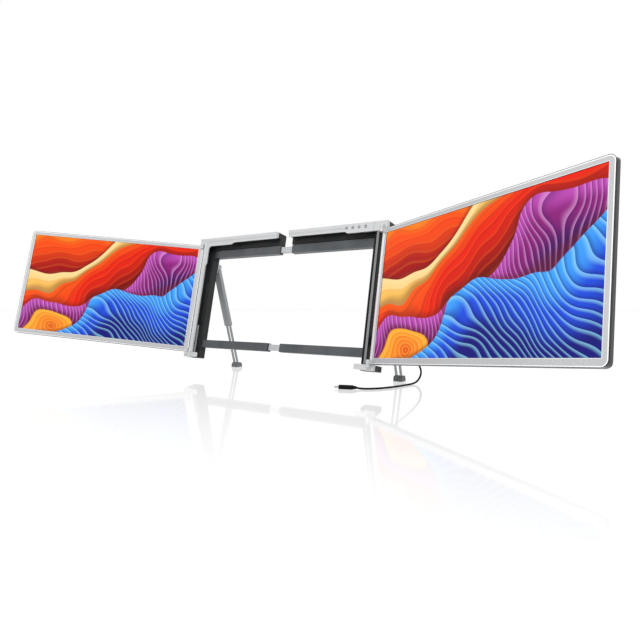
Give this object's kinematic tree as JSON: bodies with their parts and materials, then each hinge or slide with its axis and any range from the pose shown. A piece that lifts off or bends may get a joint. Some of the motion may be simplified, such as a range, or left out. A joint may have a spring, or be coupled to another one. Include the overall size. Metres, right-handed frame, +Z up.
{
  "type": "laptop screen extender",
  "caption": "Pair of slim monitors hinged to a telescopic frame that hooks over a laptop lid, with clips, folding telescopic rear legs, buttons and a cord.",
  "frame": {"origin": "bottom centre of the frame's front plane, midway between the two halves as set in the picture; the table is 30 mm below it", "axes": "+X to the right along the top beam, +Y to the back, +Z up; the frame leans back 11.8 degrees from +Z"},
  "size_m": [1.0129, 0.2906, 0.2711],
  "materials": {
    "silver_shell": "satin anodised",
    "strip": "satin",
    "dark_body": "fine texture",
    "rubber": "matt",
    "cord": "satin",
    "hinge_steel": "satin",
    "rails": "anodised",
    "bars": "brushed",
    "screws": "black oxide",
    "bezel": "satin silver",
    "screen": "lit picture under glass",
    "tray": "white",
    "monitor_back": "fine texture",
    "circuit_board": "solder mask",
    "legs": "satin anodised",
    "buttons": "satin"
  },
  "bodies": {
    "left_frame": {"left_front_shell": "silver_shell", "left_mid_frame": "dark_body", "left_rear_cover": "dark_body", "left_end_cap": "dark_body", "left_lid_pads": "rubber", "left_hinge_brackets": "hinge_steel", "left_hinge_pins": "hinge_steel", "left_rail_channels": "rails", "left_leg_bracket": "hinge_steel", "left_case_screws": "screws"},
    "left_clip": {"left_clip": "silver_shell", "left_clip_pad": "rubber"},
    "left_monitor": {"left_bezel": "bezel", "left_screen": "screen", "left_backlight_tray": "tray", "left_rear_shell": "monitor_back", "left_driver_board": "circuit_board", "left_hinge_leaves": "hinge_steel", "left_monitor_screws": "screws"},
    "left_leg": {"left_leg": "legs"},
    "left_leg_fork": {"left_fork": "legs", "left_foot": "rubber"},
    "right_frame": {"right_front_shell": "silver_shell", "right_mid_frame": "dark_body", "right_rear_cover": "dark_body", "right_end_cap": "dark_body", "right_lid_pads": "rubber", "right_hinge_brackets": "hinge_steel", "right_hinge_pins": "hinge_steel", "right_rail_channels": "rails", "right_leg_bracket": "hinge_steel", "right_case_screws": "screws", "right_corner_cap": "silver_shell", "right_lower_cap": "silver_shell", "right_post_shell": "dark_body", "right_post_strip": "strip", "right_rail_bars": "bars", "control_board": "circuit_board", "main_board": "circuit_board", "cable_pod": "dark_body", "cord_boot": "rubber", "cord": "cord", "far_plug": "cord", "far_tongue": "hinge_steel"},
    "right_clip": {"right_clip": "silver_shell", "right_clip_pad": "rubber"},
    "right_monitor": {"right_bezel": "bezel", "right_screen": "screen", "right_backlight_tray": "tray", "right_rear_shell": "monitor_back", "right_driver_board": "circuit_board", "right_hinge_leaves": "hinge_steel", "right_monitor_screws": "screws"},
    "right_leg": {"right_leg": "legs"},
    "right_leg_fork": {"right_fork": "legs", "right_foot": "rubber"},
    "menu_button": {"menu_button": "buttons"},
    "down_button": {"down_button": "buttons"},
    "up_button": {"up_button": "buttons"},
    "power_button": {"power_button": "buttons"}
  },
  "joints": [
    {"name": "width_slide", "type": "slide", "parent": "left_frame", "child": "right_frame", "axis": [1, 0, 0], "range_m": [-0.024, 0.035]},
    {"name": "left_monitor_hinge", "type": "hinge", "parent": "left_frame", "child": "left_monitor", "pos_m": [-0.1935, 0.02205, 0.10777], "axis": [0, 0.2045, 0.9789], "range_deg": [-39, 151]},
    {"name": "right_monitor_hinge", "type": "hinge", "parent": "right_frame", "child": "right_monitor", "pos_m": [0.1935, 0.0176, 0.1087], "axis": [0, -0.2045, -0.9789], "range_deg": [-33.9, 156.1]},
    {"name": "left_clip_slide", "type": "slide", "parent": "left_frame", "child": "left_clip", "axis": [0, 0.2045, 0.9789], "range_m": [-0.025, 0]},
    {"name": "left_leg_hinge", "type": "hinge", "parent": "left_frame", "child": "left_leg", "pos_m": [-0.18155, 0.06792, 0.16765], "axis": [1, 0, 0], "range_deg": [-21.5, 25]},
    {"name": "left_leg_slide", "type": "slide", "parent": "left_leg", "child": "left_leg_fork", "axis": [0, 0.2656, -0.9641], "range_m": [-0.045, 0.02]},
    {"name": "right_clip_slide", "type": "slide", "parent": "right_frame", "child": "right_clip", "axis": [0, 0.2045, 0.9789], "range_m": [-0.025, 0]},
    {"name": "right_leg_hinge", "type": "hinge", "parent": "right_frame", "child": "right_leg", "pos_m": [0.18155, 0.06792, 0.16765], "axis": [1, 0, 0], "range_deg": [-21.5, 25]},
    {"name": "right_leg_slide", "type": "slide", "parent": "right_leg", "child": "right_leg_fork", "axis": [0, 0.2656, -0.9641], "range_m": [-0.045, 0.02]},
    {"name": "menu_press", "type": "slide", "parent": "right_frame", "child": "menu_button", "axis": [0, 0.9789, -0.2045], "range_m": [0, 0.0005], "stiffness_N_per_m": 1200, "springref_m": -0.0003},
    {"name": "down_press", "type": "slide", "parent": "right_frame", "child": "down_button", "axis": [0, 0.9789, -0.2045], "range_m": [0, 0.0005], "stiffness_N_per_m": 1200, "springref_m": -0.0003},
    {"name": "up_press", "type": "slide", "parent": "right_frame", "child": "up_button", "axis": [0, 0.9789, -0.2045], "range_m": [0, 0.0005], "stiffness_N_per_m": 1200, "springref_m": -0.0003},
    {"name": "power_press", "type": "slide", "parent": "right_frame", "child": "power_button", "axis": [0, 0.9789, -0.2045], "range_m": [0, 0.0005], "stiffness_N_per_m": 1200, "springref_m": -0.0003}
  ]
}
